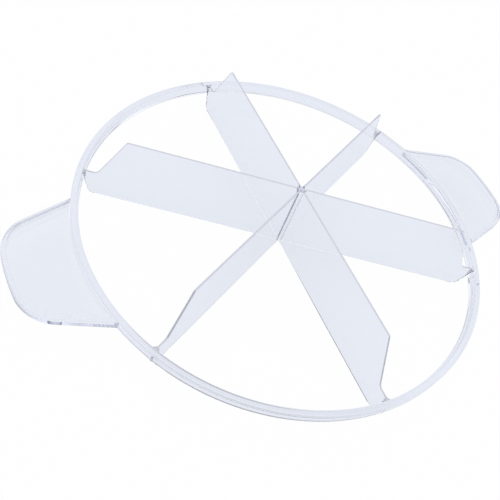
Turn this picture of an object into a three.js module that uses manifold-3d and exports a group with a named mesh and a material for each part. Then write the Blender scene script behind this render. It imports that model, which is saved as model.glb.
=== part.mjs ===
// A clear plastic pie divider: a rim ring, a hub post, six blades and two handle tabs.
// Millimetres, +Z up. It stands on the blades' back edges with the cutting edges up, and its centre
// axis is Z. The handles lie along X. In use it is turned over, and the ring rests on the tin's rim.
import * as THREE from "three";
import { mergeVertices } from "three/addons/utils/BufferGeometryUtils.js";
import Module from "manifold-3d";

// Rim ring: a band with rounded edges, whose inner wall leans slightly outwards as it rises.
const ringOuterRadius = 127;
const ringTopWall = 4.1;
const ringBottomWall = 4.4;
const ringHeight = 6.8;
const ringLift = 9.9; // the ring's lower face above the blades' back edges
const ringTopEdge = 0.9;
const ringBottomEdge = 0.4;
const ringFacets = 120;

// Blades: thin plates with a slight taper towards the cutting edge.
const bladeCount = 6;
const firstBladeAngle = Math.PI / 6;
const bladeHeight = 46;
const bladeBackWidth = 1.4;
const bladeFaceWidth = 1.2; // at the top of the flat faces, where the cutting bevel starts
const cuttingEdgeWidth = 0.4;
const cuttingBevelHeight = 0.8;
const backEdgeRadius = 0.2;
const bladeTipRadius = 101.4; // the cutting edge ends here, near the foot of the tin's wall
const bladeFootRadius = 115; // the slanted end meets the neck here, at the tin's rim
const footFillet = 3;
const tipRound = 1;
const bladeEndRadius = 119.6; // the blade's lower end, clear of the ring
const backCornerRadius = 4.5;

// Blade necks: each reaches the ring's inner wall, flares against it and hooks under it.
const ledgeDepth = 3.7; // the lip below the ring's lower face
const ledgeReach = 1.6; // how far the lip goes under the ring
const ledgeRound = 0.6;
const neckFillet = 1.5;
const flareRadius = 2.4;
const flareSweep = THREE.MathUtils.degToRad(72);
const flareRootHalfWidth = 0.5; // inside the blade's own thickness

// Hub post with a small cap that holds down the blades' inner corners.
const hubRadius = 2;
const hubCapRadius = 2.6;
const hubCapHeight = 1.2;
const hubCapRound = 0.5;
const hubFacets = 24;

// Handles: a thin panel with a raised border, held by a tongue in the ring's outer wall.
const handleReach = 165;
const handleHalfWidth = 40; // where the tab's sides cross the line x = ringOuterRadius
const handleSideAngle = Math.atan(1 / 3);
const handleCornerRadius = 23.4;
const handleEndRadius = 150; // the end is slightly bowed
const handleBottom = 11.3;
const panelThickness = 1.5;
const borderWidth = 2.5;
const grooveDepth = 1.2;
const grooveHalfAngle = THREE.MathUtils.degToRad(20.6);

// Pieces that meet keep this gap, except on level faces, where they touch.
const gap = 0.3;
const past = 5; // how far a cutting shape runs past what it cuts
const arcSteps = 4;
const edgeSteps = 1; // for the small rounded edges of turned pieces

const ringTop = ringLift + ringHeight;
const wallTopRadius = ringOuterRadius - ringTopWall; // the ring's inner wall at its top
const wallFootRadius = ringOuterRadius - ringBottomWall;
const wallLean = (wallTopRadius - wallFootRadius) / ringHeight;
const neckTopRadius = wallTopRadius - gap;
const neckFootRadius = wallFootRadius - gap;

const wasm = await Module();
wasm.setup();

// A closed three.js geometry as a solid that can be joined and cut.
function solidOf(geometry) {
  const bare = geometry.clone();
  bare.deleteAttribute("normal");
  bare.deleteAttribute("uv");
  const merged = mergeVertices(bare, 1e-4);
  return new wasm.Manifold(
    new wasm.Mesh({
      numProp: 3,
      vertProperties: merged.attributes.position.array,
      triVerts: new Uint32Array(merged.index.array),
    }),
  );
}

function geometryOf(solid) {
  const mesh = solid.getMesh();
  const geometry = new THREE.BufferGeometry();
  geometry.setAttribute("position", new THREE.BufferAttribute(mesh.vertProperties, 3));
  geometry.setIndex(new THREE.BufferAttribute(mesh.triVerts, 1));
  geometry.computeVertexNormals();
  return geometry;
}

// A closed outline through corners of [x, y, radius], each rounded by an arc of its radius.
function roundedOutline(corners) {
  const shape = new THREE.Shape();
  const pointAt = (i) => new THREE.Vector2(...corners.at(i % corners.length).slice(0, 2));
  corners.forEach(([x, y, radius = 0], i) => {
    const corner = new THREE.Vector2(x, y);
    const back = pointAt(i - 1).sub(corner).normalize();
    const ahead = pointAt(i + 1).sub(corner).normalize();
    const halfAngle = Math.acos(back.dot(ahead)) / 2;
    const start = corner.clone().addScaledVector(back, radius / Math.tan(halfAngle));
    if (i === 0) shape.moveTo(start.x, start.y);
    else shape.lineTo(start.x, start.y);
    if (!radius) return;
    const end = corner.clone().addScaledVector(ahead, radius / Math.tan(halfAngle));
    const towards = back.clone().add(ahead).normalize();
    const centre = corner.clone().addScaledVector(towards, radius / Math.sin(halfAngle));
    const startAngle = start.sub(centre).angle();
    const endAngle = end.sub(centre).angle();
    shape.absarc(centre.x, centre.y, radius, startAngle, endAngle, back.cross(ahead) > 0);
  });
  return shape;
}

function upright(shape, bottom, height) {
  const options = { depth: height, bevelEnabled: false, curveSegments: arcSteps };
  return new THREE.ExtrudeGeometry(shape, options).translate(0, 0, bottom);
}

// A turned piece from the points of its half section in (radius, height).
function turned(section, facets) {
  return new THREE.LatheGeometry(section, facets).rotateX(Math.PI / 2);
}

// A flat ring sector about Z, from -halfAngle to +halfAngle.
function ringSector(inner, outer, halfAngle) {
  const shape = new THREE.Shape();
  shape.absarc(0, 0, outer, -halfAngle, halfAngle, false);
  shape.absarc(0, 0, inner, halfAngle, -halfAngle, true);
  return shape;
}

// The band, with a groove in its outer wall for each handle's tongue.
function rimRing() {
  const section = roundedOutline([
    [wallFootRadius, ringLift, ringBottomEdge],
    [ringOuterRadius, ringLift, ringBottomEdge],
    [ringOuterRadius, ringTop, ringTopEdge],
    [wallTopRadius, ringTop, ringTopEdge],
  ]).getPoints(edgeSteps);
  const closedSection = [...section, section[0]];
  const grooveFloor = ringOuterRadius - grooveDepth;
  const groove = upright(
    ringSector(grooveFloor, ringOuterRadius + past, grooveHalfAngle),
    handleBottom,
    panelThickness + gap,
  );
  const otherGroove = groove.clone().rotateZ(Math.PI);
  const band = solidOf(turned(closedSection, ringFacets));
  return geometryOf(band.subtract(solidOf(groove)).subtract(solidOf(otherGroove)));
}

// The blade seen from its side, in (distance from the axis, height).
function bladeSide() {
  const root = hubRadius + gap;
  const capEdge = hubCapRadius + gap;
  const capSeat = bladeHeight - hubCapHeight;
  const ledgeBottom = ringLift - ledgeDepth;
  const ledgeEnd = wallFootRadius + ledgeReach;
  return roundedOutline([
    [root, 0],
    [bladeEndRadius, 0, backCornerRadius],
    [bladeEndRadius, ledgeBottom, neckFillet],
    [ledgeEnd, ledgeBottom, ledgeRound],
    [ledgeEnd, ringLift],
    [neckFootRadius, ringLift],
    [neckTopRadius, ringTop],
    [bladeFootRadius, ringTop, footFillet],
    [bladeTipRadius, bladeHeight, tipRound],
    [capEdge, bladeHeight],
    [capEdge, capSeat],
    [root, capSeat],
  ]);
}

// The blade's cross-section, a little thicker at the back than at the bevelled cutting edge.
function bladeSection() {
  const bevelStart = bladeHeight - cuttingBevelHeight;
  return roundedOutline([
    [-bladeBackWidth / 2, 0, backEdgeRadius],
    [bladeBackWidth / 2, 0, backEdgeRadius],
    [bladeFaceWidth / 2, bevelStart],
    [cuttingEdgeWidth / 2, bladeHeight],
    [-cuttingEdgeWidth / 2, bladeHeight],
    [-bladeFaceWidth / 2, bevelStart],
  ]);
}

// The neck's plan at its top, where it spreads against the ring's inner wall with a fillet on each side.
function neckFlare() {
  const start = neckTopRadius - flareRadius;
  const centreOffset = flareRootHalfWidth + flareRadius;
  const wallHalfWidth = centreOffset - flareRadius * Math.cos(flareSweep);
  const wallAngle = Math.asin(wallHalfWidth / neckTopRadius);
  const quarter = Math.PI / 2;
  const shape = new THREE.Shape();
  shape.absarc(start, -centreOffset, flareRadius, quarter, quarter - flareSweep, true);
  shape.absarc(0, 0, neckTopRadius, -wallAngle, wallAngle, false);
  shape.absarc(start, centreOffset, flareRadius, flareSweep - quarter, -quarter, true);
  return shape;
}

// One blade along +X: its side outline cut to the tapered section, with the flared neck added. The flare
// leans with the ring's inner wall.
function blade() {
  const length = ringOuterRadius;
  const side = upright(bladeSide(), -bladeBackWidth, 2 * bladeBackWidth).rotateX(Math.PI / 2);
  const sectionToBlade = new THREE.Matrix4().makeBasis(
    new THREE.Vector3(0, 1, 0),
    new THREE.Vector3(0, 0, 1),
    new THREE.Vector3(1, 0, 0),
  );
  const plate = upright(bladeSection(), 0, length).applyMatrix4(sectionToBlade);
  const lean = new THREE.Matrix4().makeShear(0, 0, 0, 0, wallLean, 0);
  const flare = upright(neckFlare(), -ringHeight, ringHeight).applyMatrix4(lean).translate(0, 0, ringTop);
  return geometryOf(solidOf(side).intersect(solidOf(plate)).add(solidOf(flare)));
}

// The post that the blades meet at, with its cap.
function hubPost() {
  const capSeat = bladeHeight - hubCapHeight;
  const section = roundedOutline([
    [0, 0],
    [hubRadius, 0, hubCapRound],
    [hubRadius, capSeat],
    [hubCapRadius, capSeat],
    [hubCapRadius, bladeHeight, hubCapRound],
    [0, bladeHeight],
  ]).getPoints(edgeSteps);
  return turned(section, hubFacets);
}

// The tab's outline in plan, drawn in by inset, from side line to corner to bowed end and back.
function handleOutline(inset, innerRadius) {
  const side = new THREE.Vector2(Math.cos(handleSideAngle), -Math.sin(handleSideAngle));
  const outward = new THREE.Vector2(-side.y, side.x);
  const corner = handleCornerRadius - inset;
  const end = handleEndRadius - inset;
  const endCentre = new THREE.Vector2(handleReach - handleEndRadius, 0);
  const onSide = new THREE.Vector2(ringOuterRadius, handleHalfWidth);
  const cornerLine = onSide.clone().addScaledVector(outward, -handleCornerRadius);
  // The corner's centre runs along cornerLine until its arc touches the bowed end from inside.
  const fromEnd = cornerLine.clone().sub(endCentre);
  const along = fromEnd.dot(side);
  const reachSq = (handleEndRadius - handleCornerRadius) ** 2;
  const travel = -along + Math.sqrt(along ** 2 - fromEnd.lengthSq() + reachSq);
  const centre = cornerLine.addScaledVector(side, travel);
  const endAngle = centre.clone().sub(endCentre).angle();
  const sideAngle = outward.angle();
  // The side line, drawn in by inset, meets the inner arc at this angle.
  const offset = onSide.dot(outward) - inset;
  const ringAngle = sideAngle - Math.acos(offset / innerRadius);
  const shape = new THREE.Shape();
  shape.absarc(0, 0, innerRadius, ringAngle, -ringAngle, true);
  shape.absarc(centre.x, -centre.y, corner, -sideAngle, -endAngle, false);
  shape.absarc(endCentre.x, 0, end, -endAngle, endAngle, false);
  shape.absarc(centre.x, centre.y, corner, endAngle, sideAngle, false);
  return shape;
}

// One tab on +X: the border around the panel, open at the ring, and the panel's tongue.
function handle() {
  const wallRadius = ringOuterRadius + gap;
  const tongueRadius = ringOuterRadius - grooveDepth + gap;
  const recessFloor = handleBottom + panelThickness;
  const block = upright(handleOutline(0, wallRadius), handleBottom, ringTop - handleBottom);
  const recess = upright(handleOutline(borderWidth, ringOuterRadius - past), recessFloor, ringHeight);
  const panel = upright(handleOutline(0, tongueRadius), handleBottom, panelThickness);
  return geometryOf(solidOf(block).subtract(solidOf(recess)).add(solidOf(panel)));
}

function clearPlastic(color) {
  const surface = { roughness: 0.06, metalness: 0, transparent: true, opacity: 0.4 };
  return new THREE.MeshStandardMaterial({ color, ...surface });
}

function addMesh(group, name, geometry, color, turn = 0) {
  const mesh = new THREE.Mesh(geometry, clearPlastic(color));
  mesh.name = name;
  mesh.rotation.z = turn;
  group.add(mesh);
}

const ringColor = 0xc5cdda;
const bladeColor = 0xe5e9f2;
const hubColor = 0xb4bcca;
const handleColor = 0xeceff8;

const cutter = new THREE.Group();
cutter.name = "pie_slice_cutter";
addMesh(cutter, "rim_ring", rimRing(), ringColor);
addMesh(cutter, "hub_post", hubPost(), hubColor);
const bladeShape = blade();
for (let i = 0; i < bladeCount; i++) {
  const turn = firstBladeAngle + (i * 2 * Math.PI) / bladeCount;
  addMesh(cutter, `blade_${i + 1}`, bladeShape, bladeColor, turn);
}
const handleShape = handle();
addMesh(cutter, "handle_right", handleShape, handleColor);
addMesh(cutter, "handle_left", handleShape, handleColor, Math.PI);

export default cutter;
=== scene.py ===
import math

import bmesh
import bpy
from mathutils import Matrix, Vector


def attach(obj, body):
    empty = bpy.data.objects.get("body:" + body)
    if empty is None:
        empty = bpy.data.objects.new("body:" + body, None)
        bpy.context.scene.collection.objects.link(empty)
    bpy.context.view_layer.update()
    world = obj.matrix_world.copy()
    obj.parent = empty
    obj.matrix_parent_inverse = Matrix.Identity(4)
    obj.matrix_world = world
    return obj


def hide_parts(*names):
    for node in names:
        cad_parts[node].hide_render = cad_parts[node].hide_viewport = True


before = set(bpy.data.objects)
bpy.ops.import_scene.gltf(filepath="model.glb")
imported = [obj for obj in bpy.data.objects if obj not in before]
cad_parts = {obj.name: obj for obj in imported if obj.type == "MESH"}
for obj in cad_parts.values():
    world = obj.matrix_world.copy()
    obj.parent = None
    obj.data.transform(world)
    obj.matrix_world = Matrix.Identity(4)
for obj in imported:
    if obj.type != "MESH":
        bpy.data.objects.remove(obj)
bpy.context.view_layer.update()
mm = 0.001
nearly = 1e-6  # places closer than this, in metres, are the same
origin = (0, 0, 0)
upward = (0, 0, 1)


class Wire:
    # a node's output that takes part in sums: 1 - wire, wire * 2 and so on add Math nodes
    def __init__(self, board, node, output):
        self.board, self.node, self.socket = board, node, node.outputs[output]

    def maths(self, operation, first, second):
        return self.board.add("ShaderNodeMath", dict(operation=operation), {0: first, 1: second})

    def __add__(self, other):
        return self.maths("ADD", self, other)

    def __radd__(self, other):
        return self.maths("ADD", other, self)

    def __sub__(self, other):
        return self.maths("SUBTRACT", self, other)

    def __rsub__(self, other):
        return self.maths("SUBTRACT", other, self)

    def __mul__(self, other):
        return self.maths("MULTIPLY", self, other)

    def __rmul__(self, other):
        return self.maths("MULTIPLY", other, self)

    def most(self, other):
        return self.maths("MAXIMUM", self, other)

    def twin(self, output):
        # another output of the same node
        return Wire(self.board, self.node, output)


class Board:
    # a node tree, with one method that makes any node: settings first, then its sockets
    def __init__(self, holder):
        holder.use_nodes = True
        self.tree = holder.node_tree
        self.tree.nodes.clear()

    def add(self, kind, settings={}, sockets={}, output=0):
        node = self.tree.nodes.new(kind)
        for name, value in settings.items():
            if name == "stops":
                ramp = node.color_ramp
                while len(ramp.elements) < len(value):
                    ramp.elements.new(1.0)
                for element, (place, colour) in zip(ramp.elements, value):
                    element.position, element.color = place, colour
            else:
                setattr(node, name, value)
        for name, value in sockets.items():
            if isinstance(value, Wire):
                self.tree.links.new(value.socket, node.inputs[name])
            else:
                node.inputs[name].default_value = value
        return Wire(self, node, output) if len(node.outputs) else node


def mixColours(board, share, first, second):
    # sockets 6 and 7 and output 2 are the Mix node's colours
    return board.add("ShaderNodeMix", dict(data_type="RGBA", clamp_factor=True), {0: share, 6: first, 7: second}, 2)


def srgb(r, g, b):
    return tuple(((c / 255 + 0.055) / 1.055) ** 2.4 for c in (r, g, b)) + (1.0,)


def addObject(name, data):
    made = bpy.data.objects.new(name, data)
    bpy.context.scene.collection.objects.link(made)
    return made


# camera
view = dict(position=(-0.22455, -0.22118, 0.33492), aim=(-0.03577, -0.01906, 0.023),
            roll=23.72, lens=53.445, sensor=36.0)


def buildCamera():
    data = bpy.data.cameras.new("camera")
    data.lens, data.sensor_width = view["lens"], view["sensor"]
    camera = addObject("camera", data)
    look = Vector(view["aim"]) - Vector(view["position"])
    turn = look.to_track_quat("-Z", "Y").to_matrix() @ Matrix.Rotation(math.radians(view["roll"]), 3, "Z")
    camera.matrix_world = Matrix.Translation(view["position"]) @ turn.to_4x4()
    bpy.context.scene.camera = camera


buildCamera()
print("camera set")


# clear plastic, with its own haze for each kind of piece; faces marked dull are rough like unpolished moulding, and
# their opaque, slightly darker tint is painted shade that draws dark lines along the blade edges
plastic = dict(
    tint=(1, 1, 1, 1), ior=1.52, roughness=0.001, smudge=0.003,
    haze=(0.42, 0.44, 0.72, 1), hazeDensity=dict(ring=6.0, blade=6.0, hub=6.0, handle=4.0),
    rippleScale=55.0, rippleDetail=2.0, rippleStrength=0.0004, rippleDepth=1 * mm,
    smudgeScale=24.0, smudgeDetail=4.0,
    # the dull faces' roughness is real; their tint is painted shade for the edge lines
    dullShadeTint=(0.92, 0.93, 0.98, 1), dullRoughness=0.55, dullSmudge=0.2)


def clearPlastic(name):
    finish = bpy.data.materials.new("clear_" + name)
    board = Board(finish)
    place = board.add("ShaderNodeTexCoord", output="Object")
    # faint moulding ripples and wiping marks
    ripple = board.add("ShaderNodeTexNoise", {}, {
        "Vector": place, "Scale": plastic["rippleScale"], "Detail": plastic["rippleDetail"]})
    smudge = board.add("ShaderNodeTexNoise", {}, {
        "Vector": place, "Scale": plastic["smudgeScale"], "Detail": plastic["smudgeDetail"]})
    bump = board.add("ShaderNodeBump", {}, {
        "Strength": plastic["rippleStrength"], "Distance": plastic["rippleDepth"], "Height": ripple})
    polished = board.add("ShaderNodeBsdfPrincipled", {}, {
        "Base Color": plastic["tint"],
        "Roughness": smudge * plastic["smudge"] + plastic["roughness"],
        "IOR": plastic["ior"],
        "Transmission Weight": 1.0,
        "Normal": bump,
    })
    # rough edge finish, opaque, whose slightly darker tint paints shade along the edges
    frostedShaded = board.add("ShaderNodeBsdfPrincipled", {}, {
        "Base Color": plastic["dullShadeTint"],
        "Roughness": smudge * plastic["dullSmudge"] + plastic["dullRoughness"],
        "IOR": plastic["ior"],
    })
    dull = board.add("ShaderNodeAttribute", dict(attribute_name="dull"), {}, "Fac")
    surface = board.add("ShaderNodeMixShader", {}, {0: dull, 1: polished, 2: frostedShaded})
    murk = board.add("ShaderNodeVolumeAbsorption", {}, {
        "Color": plastic["haze"], "Density": plastic["hazeDensity"][name]})
    board.add("ShaderNodeOutputMaterial", {}, {"Surface": surface, "Volume": murk})
    return finish


finishes = {name: clearPlastic(name) for name in plastic["hazeDensity"]}
print("plastic mixed")


# how every mesh is joined and shaded: smooth over gentle edges, with flat faces kept flat
meshing = dict(merge=1e-7, sharpAngle=32, flatWeight=100)


def makePiece(name, bm, node, slotName):
    bmesh.ops.remove_doubles(bm, verts=bm.verts, dist=meshing["merge"])
    bmesh.ops.recalc_face_normals(bm, faces=bm.faces)
    mesh = bpy.data.meshes.new(name)
    bm.to_mesh(mesh)
    bm.free()
    mesh.shade_smooth()
    mesh.set_sharp_from_angle(angle=math.radians(meshing["sharpAngle"]))
    mesh.materials.append(finishes[slotName])
    piece = addObject(name, mesh)
    weighted = piece.modifiers.new("flat faces", "WEIGHTED_NORMAL")
    weighted.keep_sharp = True
    weighted.weight = meshing["flatWeight"]
    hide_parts(node)
    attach(piece, "root")


def makeTurned(form, slotName, rows):
    # copies of one form, each a piece of its own, turned about the cutter's axis
    for name, node, degrees in rows:
        copy = form.copy()
        bmesh.ops.rotate(copy, cent=origin, verts=copy.verts, matrix=Matrix.Rotation(math.radians(degrees), 3, "Z"))
        makePiece(name, copy, node, slotName)
    form.free()


def only(kind, items):
    return [item for item in items if isinstance(item, kind)]


def roundEdges(bm, edges, offset, steps):
    bmesh.ops.bevel(bm, geom=edges, offset=offset, offset_type="OFFSET", affect="EDGES", segments=steps,
                    profile=0.5, material=-1, clamp_overlap=True)


def roundCorner(bm, corner, radius, steps):
    # the arc of this radius starts further from a sharp corner than from a blunt one
    arms = [e.other_vert(corner).co - corner.co for e in corner.link_edges]
    reach = radius / math.tan(arms[0].angle(arms[1]) / 2)
    bmesh.ops.bevel(bm, geom=[corner], offset=reach, offset_type="OFFSET", affect="VERTICES", segments=steps,
                    profile=0.5, material=-1)


def drawOutline(bm, outline, steps, y=0, closed=True):
    # corners in a plane of constant y, each with the radius of its rounding
    points = [bm.verts.new((x, y, z)) for x, z, radius in outline]
    if closed:
        bm.faces.new(points)
    else:
        for pair in zip(points, points[1:]):
            bm.edges.new(pair)
    for point, (x, z, radius) in zip(points, outline):
        if radius:
            roundCorner(bm, point, radius, steps)


def spinRound(bm, steps):
    bmesh.ops.spin(bm, geom=bm.verts[:] + bm.edges[:], cent=origin, axis=upward, angle=math.tau, steps=steps,
                   use_merge=True)
    bmesh.ops.remove_doubles(bm, verts=bm.verts, dist=nearly)


def pullFaces(bm, faces, move, keep=False):
    # extrudes faces; what they leave behind stays only as the far side of a sheet
    made = bmesh.ops.extrude_face_region(bm, geom=faces)["geom"]
    if not keep:
        bmesh.ops.delete(bm, geom=faces, context="FACES")
    bmesh.ops.translate(bm, vec=move, verts=only(bmesh.types.BMVert, made))
    return only(bmesh.types.BMFace, made)


# rim ring: a four-sided section swept round, its walls leaning out towards the top
ring = dict(outer=127 * mm, outerFoot=126.5 * mm, innerTop=123.3 * mm, innerFoot=121.4 * mm,
            bottom=9.3 * mm, top=16.7 * mm, outerRound=0.8 * mm, outerFootRound=0.15 * mm,
            innerRound=1.1 * mm, innerFootRound=2 * mm, roundSteps=8, steps=720)


def wallAt(z):
    # the radius of the ring's inner wall at a height
    lean = (ring["innerTop"] - ring["innerFoot"]) / (ring["top"] - ring["bottom"])
    return ring["innerFoot"] + lean * (z - ring["bottom"])


def buildRing():
    bm = bmesh.new()
    section = [(ring["innerFoot"], ring["bottom"], ring["innerFootRound"]),
               (ring["outerFoot"], ring["bottom"], ring["outerFootRound"]),
               (ring["outer"], ring["top"], ring["outerRound"]),
               (ring["innerTop"], ring["top"], ring["innerRound"])]
    drawOutline(bm, section, ring["roundSteps"])
    bmesh.ops.delete(bm, geom=bm.faces[:], context="FACES_ONLY")
    spinRound(bm, ring["steps"])
    makePiece("rimRing", bm, "rim_ring", "ring")


buildRing()
print("ring spun")


# blades: a side outline given its thickness and flared at the ring; a face is dull, rough and painted with shade,
# by the limits of its normal
blade = dict(count=6, firstAngle=30, root=2.35 * mm, height=46 * mm, capSeat=44.8 * mm, capEdge=2.75 * mm,
             tip=101.4 * mm, tipRound=1 * mm, foot=115 * mm, footRound=3 * mm, end=119.6 * mm, backRound=4.5 * mm,
             neckBottom=6.2 * mm, neckRound=1.5 * mm, neckTop=16.7 * mm, seam=0.04 * mm, roundSteps=8,
             thickness=1.1 * mm, flare=2.4 * mm, flareTurn=72, flareCuts=7, backEdge=0.2 * mm, backSteps=4,
             dull=0.8, dullAcross=0.3, dullUp=0.2, dullOut=0.9)


def flareNeck(bm, halfThick):
    # the sides of the neck spread along an arc as they near the ring
    radius, turn = blade["flare"], math.radians(blade["flareTurn"])
    start = wallAt(blade["neckTop"]) - radius
    for cut in range(blade["flareCuts"]):
        reach = radius * math.sin(turn * cut / blade["flareCuts"])
        bmesh.ops.bisect_plane(bm, geom=bm.verts[:] + bm.edges[:] + bm.faces[:], dist=meshing["merge"],
                               plane_co=(start + reach, 0, 0), plane_no=(1, 0, 0))
    for v in bm.verts:
        along = min(max(v.co.x - start, 0), radius * math.sin(turn))
        spread = radius - math.sqrt(radius ** 2 - along ** 2)
        v.co.y = math.copysign(halfThick + spread, v.co.y)


def dullShadedEdges(bm):
    # the cutting edge, the slanted end and the end against the ring, and how much of them takes the rough finish
    # that scatters light and carries painted edge shade
    bm.normal_update()
    layer = bm.faces.layers.float.new("dull")
    for face in bm.faces:
        out, across, up = face.normal
        if abs(across) < blade["dullAcross"] and (up > blade["dullUp"] or out > blade["dullOut"]):
            face[layer] = blade["dull"]


def buildBlade():
    bm = bmesh.new()
    outline = [
        (blade["root"], 0, 0), (blade["end"], 0, blade["backRound"]),
        (blade["end"], blade["neckBottom"], blade["neckRound"]),
        (wallAt(blade["neckBottom"]) - blade["seam"], blade["neckBottom"], 0),
        (wallAt(blade["neckTop"]) - blade["seam"], blade["neckTop"], 0),
        (blade["foot"], blade["neckTop"], blade["footRound"]), (blade["tip"], blade["height"], blade["tipRound"]),
        (blade["capEdge"], blade["height"], 0), (blade["capEdge"], blade["capSeat"], 0),
        (blade["root"], blade["capSeat"], 0)]
    halfThick = blade["thickness"] / 2
    drawOutline(bm, outline, blade["roundSteps"], -halfThick)
    pullFaces(bm, bm.faces[:], (0, blade["thickness"], 0), keep=True)
    bmesh.ops.recalc_face_normals(bm, faces=bm.faces)
    flareNeck(bm, halfThick)
    backEdges = [e for e in bm.edges if all(v.co.z < nearly for v in e.verts)
                 and abs(e.verts[0].co.y - e.verts[1].co.y) < nearly]
    roundEdges(bm, backEdges, blade["backEdge"], blade["backSteps"])
    dullShadedEdges(bm)
    return bm


makeTurned(buildBlade(), "blade", [("blade%d" % (index + 1), "blade_%d" % (index + 1),
                                    blade["firstAngle"] + 360 / blade["count"] * index)
                                   for index in range(blade["count"])])
print("blades cut")


# hub post with its cap
hub = dict(radius=2 * mm, capRadius=2.6 * mm, capSeat=44.85 * mm, height=46 * mm,
           footRound=0.4 * mm, capRound=0.5 * mm, roundSteps=4, steps=64)


def buildHub():
    bm = bmesh.new()
    profile = [(0, 0, 0), (hub["radius"], 0, hub["footRound"]), (hub["radius"], hub["capSeat"], 0),
               (hub["capRadius"], hub["capSeat"], 0), (hub["capRadius"], hub["height"], hub["capRound"]),
               (0, hub["height"], 0)]
    drawOutline(bm, profile, hub["roundSteps"], closed=False)
    spinRound(bm, hub["steps"])
    makePiece("hubPost", bm, "hub_post", "hub")


buildHub()
print("hub turned")


# handles: a border swept round three sides of a thin panel, its fourth side against the ring;
# crease is the least angle, in radians, of an edge that is rounded
handle = dict(reach=165 * mm, halfWidth=40 * mm, slope=1 / 3, corner=23.4 * mm, bow=150 * mm, border=2.5 * mm,
              bottom=11.3 * mm, floor=12.8 * mm, top=16.7 * mm, wall=127.04 * mm,
              cornerSteps=40, endSteps=32, ringSteps=60, edge=0.6 * mm, edgeSteps=8, crease=0.6)


def buildHandle():
    bm = bmesh.new()
    inner = bm.verts.layers.int.new("inner")
    lean = math.atan(handle["slope"])
    side = Vector((math.cos(lean), -math.sin(lean), 0))
    out = Vector((math.sin(lean), math.cos(lean), 0))
    level = Vector((0, 0, handle["bottom"]))
    otherSide = Vector((1, -1, 1))
    start = Vector((ring["outer"], handle["halfWidth"], 0))
    bowCentre = Vector((handle["reach"] - handle["bow"], 0, 0))
    # the corner's centre: in from the side line, and in from the bowed end
    cornerLine = start - out * handle["corner"]
    away = cornerLine - bowCentre
    along = away.dot(side)
    travel = -along + math.sqrt(along ** 2 - away.length_squared + (handle["bow"] - handle["corner"]) ** 2)
    corner = cornerLine + side * travel
    outAngle = math.atan2(out.y, out.x)
    bowAngle = math.atan2(corner.y, corner.x - bowCentre.x)

    def atWall(inset):
        # where the side line, drawn in by inset, meets the ring's outer wall
        angle = outAngle - math.acos((start.dot(out) - inset) / handle["wall"])
        return Vector((handle["wall"] * math.cos(angle), handle["wall"] * math.sin(angle), 0))

    def sweep(cross, centre, angle, steps):
        made = bmesh.ops.spin(bm, geom=list(cross.verts) + [cross], cent=centre + level, axis=upward, angle=angle,
                              steps=steps)
        return only(bmesh.types.BMEdge, made["geom_last"])[0]

    def carry(cross, outerPlace, innerPlace):
        made = bmesh.ops.extrude_edge_only(bm, edges=[cross])["geom"]
        moved = only(bmesh.types.BMVert, made)
        for v in moved:
            v.co = (innerPlace if v[inner] else outerPlace) + level
        return [e for e in only(bmesh.types.BMEdge, made) if all(v in moved for v in e.verts)][0]

    # the border's plan: an edge across it, carried down one side, round the end and back up the other
    wallOuter, wallInner = atWall(0), atWall(handle["border"])
    ends = [bm.verts.new(place + level) for place in (wallOuter, wallInner)]
    ends[1][inner] = 1
    cross = bm.edges.new(ends)
    cross = carry(cross, corner + out * handle["corner"], corner + out * (handle["corner"] - handle["border"]))
    cross = sweep(cross, corner, bowAngle - outAngle, handle["cornerSteps"])
    cross = sweep(cross, bowCentre, -2 * bowAngle, handle["endSteps"])
    cross = sweep(cross, corner * otherSide, bowAngle - outAngle, handle["cornerSteps"])
    carry(cross, wallOuter * otherSide, wallInner * otherSide)
    # the panel fills the border's inside, with the ring's curve as its fourth side
    bmesh.ops.spin(bm, geom=[ends[1]], cent=level, axis=upward, angle=-2 * math.atan2(wallInner.y, wallInner.x),
                   steps=handle["ringSteps"])
    bmesh.ops.remove_doubles(bm, verts=bm.verts, dist=nearly)
    bmesh.ops.contextual_create(bm, geom=[e for e in bm.edges if all(v[inner] for v in e.verts)])

    # border and panel get the panel's thickness, then the border's four-cornered faces go on up
    tops = pullFaces(bm, bm.faces[:], (0, 0, handle["floor"] - handle["bottom"]), keep=True)
    pullFaces(bm, [f for f in tops if len(f.verts) == 4], (0, 0, handle["top"] - handle["floor"]))
    bmesh.ops.recalc_face_normals(bm, faces=bm.faces)
    for z in (handle["top"], handle["bottom"]):
        edges = [e for e in bm.edges if len(e.link_faces) == 2 and e.calc_face_angle() > handle["crease"]
                 and all(abs(v.co.z - z) < nearly for v in e.verts)
                 and not all(v.co.xy.length < handle["wall"] + nearly for v in e.verts)]
        roundEdges(bm, edges, handle["edge"], handle["edgeSteps"])
    return bm


makeTurned(buildHandle(), "handle", [("handleRight", "handle_right", 0), ("handleLeft", "handle_left", 180)])
print("handles drawn")


# floor: pale paper, nearly white to the camera and its own colour through the plastic
stage = dict(size=4.0, cells=4, drop=0.05 * mm, paper=srgb(239, 243, 252), white=(1, 1, 1, 1),
             direct=0.985, through=0.825)


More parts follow.
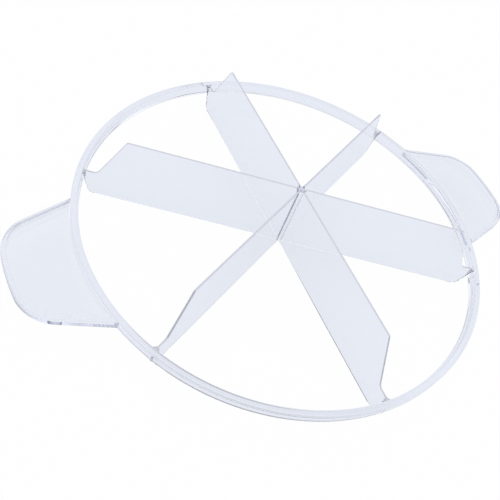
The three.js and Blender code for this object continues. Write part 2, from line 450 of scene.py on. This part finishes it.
def buildFloor():
    bm = bmesh.new()
    bmesh.ops.create_grid(bm, x_segments=stage["cells"], y_segments=stage["cells"], size=stage["size"] / 2)
    bmesh.ops.translate(bm, vec=(0, 0, -stage["drop"]), verts=bm.verts)
    mesh = bpy.data.meshes.new("floor")
    bm.to_mesh(mesh)
    bm.free()
    floor = addObject("floor", mesh)
    finish = bpy.data.materials.new("floor")
    board = Board(finish)
    ray = board.add("ShaderNodeLightPath", output="Is Camera Ray")
    inPlastic = ray.twin("Is Glossy Ray").most(ray.twin("Is Transmission Ray"))
    seen = (ray * stage["direct"]).most(inPlastic * stage["through"])
    tone = mixColours(board, ray, stage["paper"], stage["white"])
    matt = board.add("ShaderNodeBsdfDiffuse", {}, {"Color": stage["paper"]})
    bright = board.add("ShaderNodeEmission", {}, {"Color": tone, "Strength": 1.0})
    both = board.add("ShaderNodeMixShader", {}, {0: seen, 1: matt, 2: bright})
    board.add("ShaderNodeOutputMaterial", {}, {"Surface": both})
    mesh.materials.append(finish)


buildFloor()

# studio light: bright behind the object and dim before it, each side a ramp from the horizon up, and the two
# blend about the middle; the camera sees white past the floor
sky = dict(away=44.6, blendSlope=0.9, blendMiddle=0.5, strength=1.0, tone=(1, 1.02, 1.07), white=(1, 1, 1, 1),
           behind=[(0, 0.7), (0.5, 0.6), (0.68, 1.05), (0.8, 1.1), (1, 1)],
           front=[(0, 0.45), (0.5, 0.45), (0.866, 0.45), (1, 0.9)])
# a dark card hung above and behind draws the edge lines; its opposite side of the sky is kept clear of it
card = dict(azimuth=36, elevation=58, halfWidth=0.18, halfHeight=0.17, inside=0.6, outside=1.4, shade=0.12,
            clearFrom=0.5, clearSlope=4)


def skyTone(level):
    return tuple(level * part for part in sky["tone"]) + (1.0,)


def buildSky():
    world = bpy.data.worlds.new("studio")
    bpy.context.scene.world = world
    board = Board(world)
    direction = board.add("ShaderNodeTexCoord", output="Generated")
    height = board.add("ShaderNodeSeparateXYZ", {}, {"Vector": direction}, "Z")

    def towards(vector):
        # how much of a direction lies along vector
        return board.add("ShaderNodeVectorMath", dict(operation="DOT_PRODUCT"), {0: direction, 1: vector}, "Value")

    def ramp(levels):
        stops = [(place, skyTone(level)) for place, level in levels]
        return board.add("ShaderNodeValToRGB", dict(stops=stops), {"Fac": height})

    away = math.radians(sky["away"])
    side = towards((math.cos(away), math.sin(away), 0))
    share = side * sky["blendSlope"] + sky["blendMiddle"]
    glow = mixColours(board, share, ramp(sky["front"]), ramp(sky["behind"]))

    turn = (Matrix.Rotation(math.radians(card["azimuth"]), 3, "Z")
            @ Matrix.Rotation(-math.radians(card["elevation"]), 3, "Y"))
    facing = towards(turn @ Vector((1, 0, 0)))
    across = towards(turn @ Vector((0, 1, 0))) * (1 / card["halfWidth"])
    along = towards(turn @ Vector((0, 0, 1))) * (1 / card["halfHeight"])
    opposite = ((1 - facing).most(card["clearFrom"]) - card["clearFrom"]) * card["clearSlope"]
    offCard = across * across + along * along + opposite
    hidden = board.add("ShaderNodeMapRange", dict(interpolation_type="SMOOTHSTEP"), {
        "Value": offCard, "From Min": card["inside"], "From Max": card["outside"], "To Min": 1.0, "To Max": 0.0})
    lit = mixColours(board, hidden, glow, skyTone(card["shade"]))

    ray = board.add("ShaderNodeLightPath", output="Is Camera Ray")
    seen = mixColours(board, ray, lit, sky["white"])
    light = board.add("ShaderNodeBackground", {}, {"Color": seen, "Strength": sky["strength"]})
    board.add("ShaderNodeOutputWorld", {}, {"Surface": light})


buildSky()
print("stage lit")

bpy.context.scene.view_settings.view_transform = "Standard"
# light is guided a long way inside clear plastic before it leaves
bounces = dict(max_bounces=200, glossy_bounces=200, transmission_bounces=200)
for name, count in bounces.items():
    setattr(bpy.context.scene.cycles, name, count)
